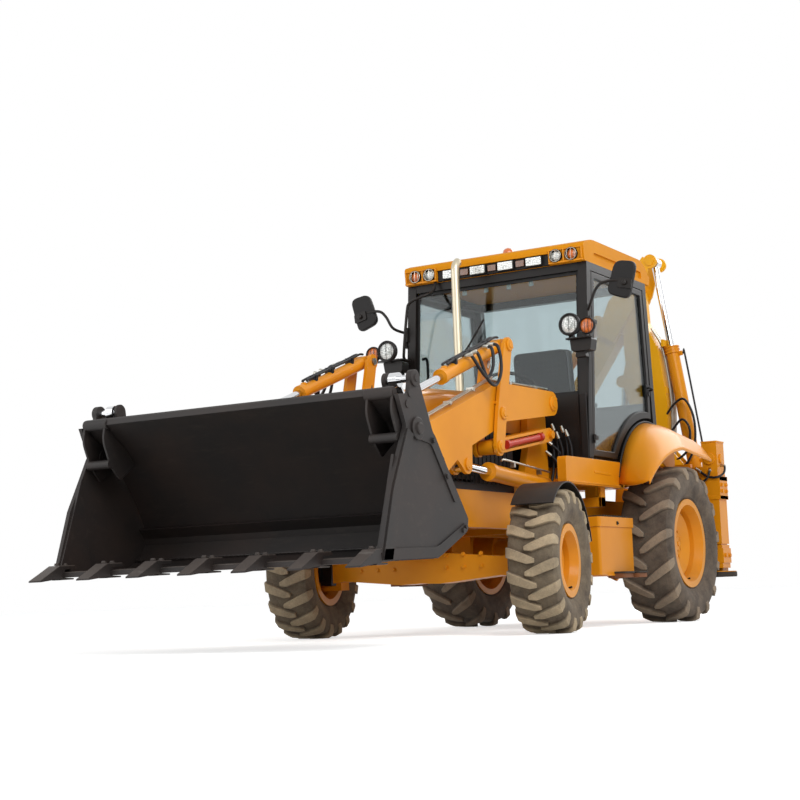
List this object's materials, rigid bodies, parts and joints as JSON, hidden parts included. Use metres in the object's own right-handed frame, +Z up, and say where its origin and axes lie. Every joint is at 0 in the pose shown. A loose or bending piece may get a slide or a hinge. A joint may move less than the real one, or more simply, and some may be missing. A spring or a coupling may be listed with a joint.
{
  "type": "backhoe loader",
  "caption": "Wheeled backhoe loader with a clam front bucket on levelled arms, a glazed cab, stabilisers and a side-shift digging arm folded behind.",
  "frame": {"origin": "on the ground under the middle of the whole machine", "axes": "+X to the machine's left, +Y to its rear, +Z up; the front faces -Y"},
  "size_m": [2.36, 6.085, 3.06],
  "materials": {
    "yellow_paint": "satin",
    "bucket_paint": "matte",
    "dark_paint": "satin",
    "rim_paint": "satin",
    "red_paint": "satin",
    "window_glass": "clear",
    "chromed_steel": "polished",
    "pin_steel": "satin",
    "stack_steel": "satin",
    "cast_iron": "matte",
    "interior_plastic": "matte",
    "lamp_housing": "matte",
    "tyre_rubber": "matte"
  },
  "bodies": {
    "chassis": {"main_frame": "yellow_paint", "loader_towers": "yellow_paint", "front_axle": "yellow_paint", "rear_axle": "yellow_paint", "engine_block": "cast_iron", "hood": "yellow_paint", "grille": "dark_paint", "exhaust": "stack_steel", "cab_frame": "dark_paint", "cab_glass": "window_glass", "cab_roof": "yellow_paint", "cab_interior": "interior_plastic", "rear_fenders": "yellow_paint", "side_tanks": "dark_paint", "rear_frame": "yellow_paint", "lamps": "lamp_housing", "mirrors": "lamp_housing"},
    "knuckle_left": {"knuckle_left": "dark_paint"},
    "wheel_front_left": {"tyre_front_left": "tyre_rubber", "rim_front_left": "rim_paint"},
    "wheel_rear_left": {"tyre_rear_left": "tyre_rubber", "rim_rear_left": "rim_paint"},
    "door_left": {"door_left": "dark_paint", "door_glass_left": "window_glass"},
    "knuckle_right": {"knuckle_right": "dark_paint"},
    "wheel_front_right": {"tyre_front_right": "tyre_rubber", "rim_front_right": "rim_paint"},
    "wheel_rear_right": {"tyre_rear_right": "tyre_rubber", "rim_rear_right": "rim_paint"},
    "door_right": {"door_right": "dark_paint", "door_glass_right": "window_glass"},
    "level_links": {"level_links": "yellow_paint", "safety_struts": "red_paint"},
    "loader_arms": {"loader_arms": "yellow_paint"},
    "loader_levers": {"loader_levers": "yellow_paint"},
    "lever_top_pins": {"lever_top_pins": "pin_steel"},
    "tilt_barrels": {"tilt_barrels": "yellow_paint"},
    "tilt_rods": {"tilt_rods": "chromed_steel"},
    "bucket_pins": {"bucket_pins": "pin_steel"},
    "bucket_back": {"bucket_back": "bucket_paint"},
    "bucket_clam": {"bucket_clam": "bucket_paint"},
    "clam_barrels": {"clam_barrels": "yellow_paint"},
    "clam_rods": {"clam_rods": "chromed_steel"},
    "lift_barrels": {"lift_barrels": "yellow_paint"},
    "lift_rods": {"lift_rods": "chromed_steel"},
    "side_shift_carriage": {"side_shift_carriage": "yellow_paint"},
    "king_post": {"king_post": "yellow_paint"},
    "boom": {"boom": "yellow_paint"},
    "dipper": {"dipper": "yellow_paint"},
    "hoe_bucket": {"hoe_bucket": "bucket_paint"},
    "boom_ram_barrel": {"boom_ram_barrel": "yellow_paint"},
    "boom_ram_rod": {"boom_ram_rod": "chromed_steel"},
    "dipper_ram_barrel": {"dipper_ram_barrel": "yellow_paint"},
    "dipper_ram_rod": {"dipper_ram_rod": "chromed_steel"},
    "tipping_lever": {"tipping_lever": "yellow_paint"},
    "bucket_link": {"bucket_link": "yellow_paint"},
    "bucket_ram_barrel": {"bucket_ram_barrel": "yellow_paint"},
    "bucket_ram_rod": {"bucket_ram_rod": "chromed_steel"},
    "stabiliser_left": {"stabiliser_left": "yellow_paint"},
    "stabiliser_right": {"stabiliser_right": "yellow_paint"}
  },
  "joints": [
    {"name": "steer_left", "type": "hinge", "parent": "chassis", "child": "knuckle_left", "pos_m": [0.78, -0.43, 0.46], "axis": [0, 0, 1], "range_deg": [-36, 20]},
    {"name": "steer_right", "type": "hinge", "parent": "chassis", "child": "knuckle_right", "pos_m": [-0.78, -0.43, 0.46], "axis": [0, 0, 1], "range_deg": [-36, 20]},
    {"name": "wheel_front_left", "type": "hinge", "parent": "knuckle_left", "child": "wheel_front_left", "pos_m": [0.90378, -0.4126, 0.46], "axis": [0.9903, 0.1392, 0], "continuous": true},
    {"name": "wheel_front_right", "type": "hinge", "parent": "knuckle_right", "child": "wheel_front_right", "pos_m": [-0.90378, -0.4474, 0.46], "axis": [0.9903, 0.1392, 0], "continuous": true},
    {"name": "wheel_rear_left", "type": "hinge", "parent": "chassis", "child": "wheel_rear_left", "pos_m": [0.857, 1.85, 0.592], "axis": [1, 0, 0], "continuous": true},
    {"name": "wheel_rear_right", "type": "hinge", "parent": "chassis", "child": "wheel_rear_right", "pos_m": [-0.857, 1.85, 0.592], "axis": [1, 0, 0], "continuous": true},
    {"name": "door_left", "type": "hinge", "parent": "chassis", "child": "door_left", "pos_m": [0.766, 0.72, 1.8], "axis": [0, 0, -1], "range_deg": [0, 80]},
    {"name": "door_right", "type": "hinge", "parent": "chassis", "child": "door_right", "pos_m": [-0.766, 0.72, 1.8], "axis": [0, 0, 1], "range_deg": [0, 80]},
    {"name": "loader_lift", "type": "hinge", "parent": "chassis", "child": "loader_arms", "pos_m": [0, 0.424, 1.58], "axis": [-1, 0, 0], "range_deg": [-11.4, 60]},
    {"name": "lever_level", "type": "hinge", "parent": "loader_arms", "child": "loader_levers", "pos_m": [0, -0.425, 1.44], "axis": [-1, 0, 0], "range_deg": [-60.5, 11.9]},
    {"name": "lever_top", "type": "hinge", "parent": "loader_levers", "child": "lever_top_pins", "pos_m": [0, -0.295, 1.91], "axis": [-1, 0, 0], "range_deg": [-11.9, 60.5]},
    {"name": "tilt_barrel_pivot", "type": "hinge", "parent": "lever_top_pins", "child": "tilt_barrels", "pos_m": [0, -0.295, 1.91], "axis": [-1, 0, 0], "range_deg": [-4.72, 5.93]},
    {"name": "tilt_rod_slide", "type": "slide", "parent": "tilt_barrels", "child": "tilt_rods", "axis": [0, -0.9413, -0.3375], "range_m": [-0.2271, 0.2912]},
    {"name": "level_link_pivot", "type": "hinge", "parent": "chassis", "child": "level_links", "pos_m": [0, 0.364, 1.355], "axis": [-1, 0, 0], "range_deg": [-11.9, 60.5]},
    {"name": "bucket_level", "type": "hinge", "parent": "loader_arms", "child": "bucket_pins", "pos_m": [0, -2.015, 0.87], "axis": [-1, 0, 0], "range_deg": [-60.5, 11.9]},
    {"name": "bucket_tilt", "type": "hinge", "parent": "bucket_pins", "child": "bucket_back", "pos_m": [0, -2.015, 0.87], "axis": [-1, 0, 0], "range_deg": [-45, 35]},
    {"name": "clam_open", "type": "hinge", "parent": "bucket_back", "child": "bucket_clam", "pos_m": [0, -2.42, 1.155], "axis": [-1, 0, 0], "range_deg": [0, 50]},
    {"name": "clam_barrel_pivot", "type": "hinge", "parent": "bucket_back", "child": "clam_barrels", "pos_m": [0, -2.07, 1], "axis": [-1, 0, 0], "range_deg": [-0.5, 17.57]},
    {"name": "clam_rod_slide", "type": "slide", "parent": "clam_barrels", "child": "clam_rods", "axis": [0, -0.6463, 0.763], "range_m": [-0.1855, 0.003]},
    {"name": "lift_barrel_pivot", "type": "hinge", "parent": "chassis", "child": "lift_barrels", "pos_m": [0, 0.37, 1], "axis": [-1, 0, 0], "range_deg": [-10.46, 52.91]},
    {"name": "lift_rod_slide", "type": "slide", "parent": "lift_barrels", "child": "lift_rods", "axis": [0, -0.9978, 0.066], "range_m": [-0.1075, 0.5528]},
    {"name": "side_shift", "type": "slide", "parent": "chassis", "child": "side_shift_carriage", "axis": [-1, 0, 0], "range_m": [0, 1.124]},
    {"name": "backhoe_swing", "type": "hinge", "parent": "side_shift_carriage", "child": "king_post", "pos_m": [0.562, 2.87, 0.79], "axis": [0, 0, -1], "range_deg": [0, 180]},
    {"name": "boom_lower", "type": "hinge", "parent": "king_post", "child": "boom", "pos_m": [0.262, 2.87, 0.66], "axis": [0, -1, 0], "range_deg": [0, 125]},
    {"name": "dipper_out", "type": "hinge", "parent": "boom", "child": "dipper", "pos_m": [0.292, 2.87, 2.728], "axis": [0, 1, 0], "range_deg": [0, 110]},
    {"name": "backhoe_bucket_open", "type": "hinge", "parent": "dipper", "child": "hoe_bucket", "pos_m": [-0.558, 2.87, 1.45], "axis": [0, 1, 0], "range_deg": [0, 85]},
    {"name": "boom_ram_pivot", "type": "hinge", "parent": "king_post", "child": "boom_ram_barrel", "pos_m": [0.002, 2.87, 0.4], "axis": [0, -1, 0], "range_deg": [-0.5, 125.65]},
    {"name": "boom_ram_slide", "type": "slide", "parent": "boom_ram_barrel", "child": "boom_ram_rod", "axis": [0.0928, 0, 0.9957], "range_m": [-0.657, 0.003]},
    {"name": "dipper_ram_pivot", "type": "hinge", "parent": "boom", "child": "dipper_ram_barrel", "pos_m": [0.737, 2.87, 1.18], "axis": [0, 1, 0], "range_deg": [-0.5, 1.78]},
    {"name": "dipper_ram_slide", "type": "slide", "parent": "dipper_ram_barrel", "child": "dipper_ram_rod", "axis": [-0.1436, 0, 0.9896], "range_m": [-0.5409, 0.003]},
    {"name": "tipping_lever_pivot", "type": "hinge", "parent": "dipper", "child": "tipping_lever", "pos_m": [-0.44736, 2.87, 1.7247], "axis": [0, 1, 0], "range_deg": [-0.5, 81.01]},
    {"name": "bucket_link_pivot", "type": "hinge", "parent": "tipping_lever", "child": "bucket_link", "pos_m": [-0.72202, 2.87, 1.79928], "axis": [0, 1, 0], "range_deg": [-62.36, 0.5]},
    {"name": "bucket_ram_pivot", "type": "hinge", "parent": "dipper", "child": "bucket_ram_barrel", "pos_m": [-0.04896, 2.87, 2.55845], "axis": [0, 1, 0], "range_deg": [-3.66, 0.5]},
    {"name": "bucket_ram_slide", "type": "slide", "parent": "bucket_ram_barrel", "child": "bucket_ram_rod", "axis": [-0.6634, 0, -0.7483], "range_m": [-0.3717, 0.003]},
    {"name": "stabiliser_left", "type": "slide", "parent": "chassis", "child": "stabiliser_left", "axis": [0, 0, -1], "range_m": [0, 0.4]},
    {"name": "stabiliser_right", "type": "slide", "parent": "chassis", "child": "stabiliser_right", "axis": [0, 0, -1], "range_m": [0, 0.4]}
  ],
  "couplings": [
    {"joint": "steer_right", "follows": "steer_left", "ratio": 1},
    {"joint": "lever_level", "follows": "loader_lift", "ratio": -1},
    {"joint": "lever_top", "follows": "loader_lift", "ratio": 1},
    {"joint": "level_link_pivot", "follows": "loader_lift", "ratio": 1},
    {"joint": "bucket_level", "follows": "loader_lift", "ratio": -1},
    {"joint": "lift_barrel_pivot", "follows": "loader_lift", "ratio": 0.8735},
    {"joint": "lift_rod_slide", "follows": "loader_lift", "m_per_rad": 0.52506},
    {"joint": "tilt_barrel_pivot", "follows": "bucket_tilt", "ratio": -0.1207},
    {"joint": "tilt_rod_slide", "follows": "bucket_tilt", "m_per_rad": -0.36691},
    {"joint": "clam_barrel_pivot", "follows": "clam_open", "ratio": 0.3414},
    {"joint": "clam_rod_slide", "follows": "clam_open", "m_per_rad": -0.20911},
    {"joint": "boom_ram_pivot", "follows": "boom_lower", "ratio": 1.0012},
    {"joint": "boom_ram_slide", "follows": "boom_lower", "m_per_rad": -0.29979},
    {"joint": "dipper_ram_pivot", "follows": "dipper_out", "ratio": 0.0116},
    {"joint": "dipper_ram_slide", "follows": "dipper_out", "m_per_rad": -0.28019},
    {"joint": "tipping_lever_pivot", "follows": "backhoe_bucket_open", "ratio": 0.9472},
    {"joint": "bucket_link_pivot", "follows": "backhoe_bucket_open", "ratio": -0.72781},
    {"joint": "bucket_ram_pivot", "follows": "backhoe_bucket_open", "ratio": -0.03723},
    {"joint": "bucket_ram_slide", "follows": "backhoe_bucket_open", "m_per_rad": -0.24855}
  ]
}
